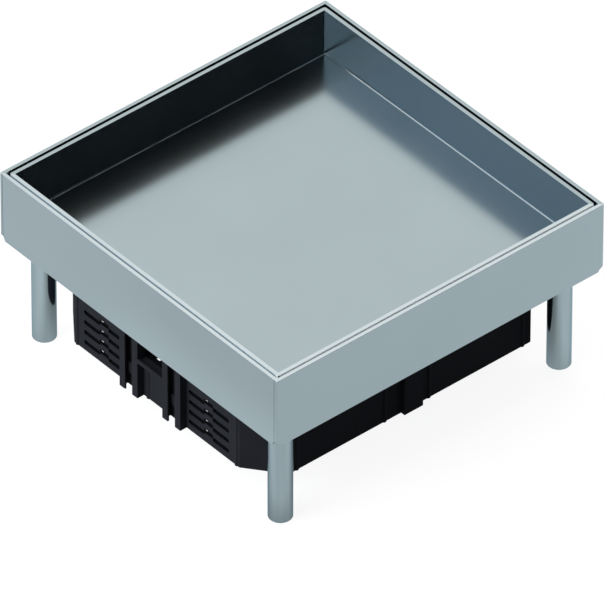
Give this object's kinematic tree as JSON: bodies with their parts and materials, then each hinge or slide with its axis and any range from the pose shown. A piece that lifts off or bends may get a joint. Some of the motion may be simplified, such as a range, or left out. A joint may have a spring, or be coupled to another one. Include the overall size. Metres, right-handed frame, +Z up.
{
  "type": "floor box cover",
  "caption": "Square floor box cover: a sheet-steel frame on round legs holds a lift-out tray for the floor finish, with a moulded slotted device housing below.",
  "frame": {"origin": "on the floor, at the centre of the four legs", "axes": "+Z up, +X and +Y square to the walls; the slotted walls of the housing face -Y and +Y"},
  "size_m": [0.3, 0.3, 0.1458],
  "materials": {
    "frame_steel": "stainless steel sheet, fine satin",
    "tray_steel": "stainless steel sheet, fine satin",
    "leg_steel": "stainless steel bar, turned",
    "bracket_steel": "stainless steel, as rolled",
    "fastener_steel": "stainless steel fasteners",
    "housing_plastic": "black moulded plastic, fine texture",
    "seal_rubber": "solid rubber strip"
  },
  "bodies": {
    "root": {"corner_plate_back_left": "bracket_steel", "corner_plate_back_right": "bracket_steel", "corner_plate_front_left": "bracket_steel", "corner_plate_front_right": "bracket_steel", "cover_tray": "tray_steel", "device_housing": "housing_plastic", "earth_nut": "fastener_steel", "earth_stud": "fastener_steel", "earth_washer": "fastener_steel", "housing_screws": "fastener_steel", "housing_washers": "fastener_steel", "leg_back_left": "leg_steel", "leg_back_right": "leg_steel", "leg_front_left": "leg_steel", "leg_front_right": "leg_steel", "leg_screws": "fastener_steel", "outer_frame": "frame_steel", "tray_seal": "seal_rubber", "tray_support_back": "bracket_steel", "tray_support_front": "bracket_steel", "tray_support_left": "bracket_steel", "tray_support_right": "bracket_steel"}
  },
  "joints": []
}
